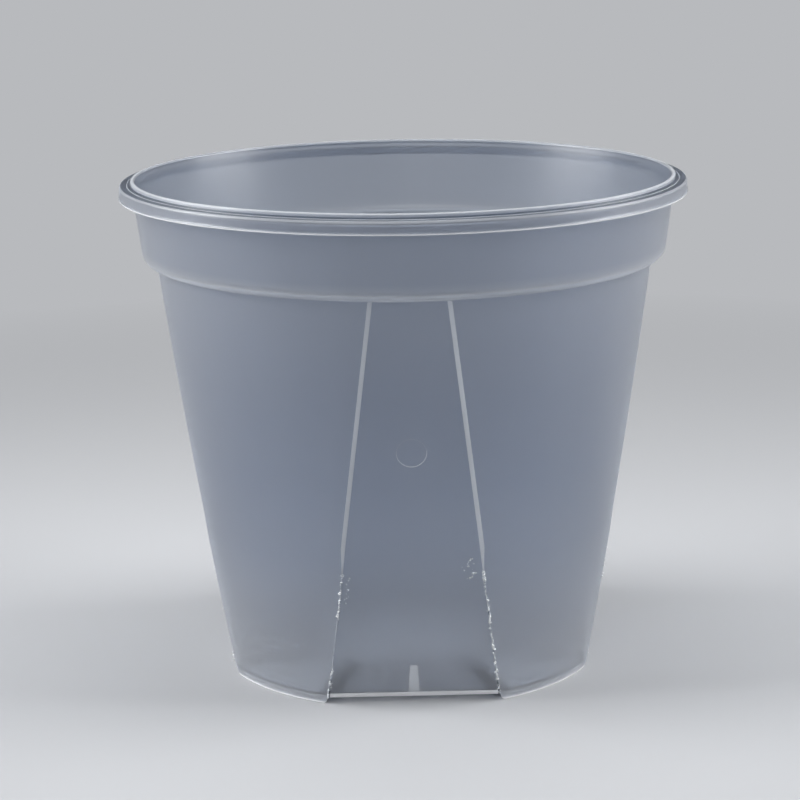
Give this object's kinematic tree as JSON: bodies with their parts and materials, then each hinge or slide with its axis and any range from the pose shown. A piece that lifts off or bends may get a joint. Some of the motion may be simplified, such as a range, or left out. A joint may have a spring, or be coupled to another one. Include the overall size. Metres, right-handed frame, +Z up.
{
  "type": "clear plant pot",
  "caption": "Round tapered frosted-clear plant pot with a hanging rim, straight collar, stepped flat side faces and drainage slits that run from the walls into the floor.",
  "frame": {"origin": "on the ground under the middle of the pot", "axes": "+Z up along the pot's axis; one flat face looks along -Y"},
  "size_m": [0.12, 0.12, 0.105],
  "materials": {
    "rim": "satin clear polypropylene, thick at the rim",
    "wall": "frosted clear polypropylene",
    "panel": "frosted clear polypropylene, flat moulded face",
    "base": "frosted clear polypropylene with whitened cut edges"
  },
  "bodies": {
    "root": {"rim_ring": "rim", "collar_band": "wall", "shoulder_ring": "wall", "wall_sector_front_right": "wall", "wall_sector_back_right": "wall", "wall_sector_back_left": "wall", "wall_sector_front_left": "wall", "flat_panel_front": "panel", "flat_panel_right": "panel", "flat_panel_back": "panel", "flat_panel_left": "panel", "floor_plate": "base", "foot_arc_front_right": "base", "foot_arc_back_right": "base", "foot_arc_back_left": "base", "foot_arc_front_left": "base", "panel_rib_front": "base", "panel_rib_right": "base", "panel_rib_back": "base", "panel_rib_left": "base"}
  },
  "joints": []
}
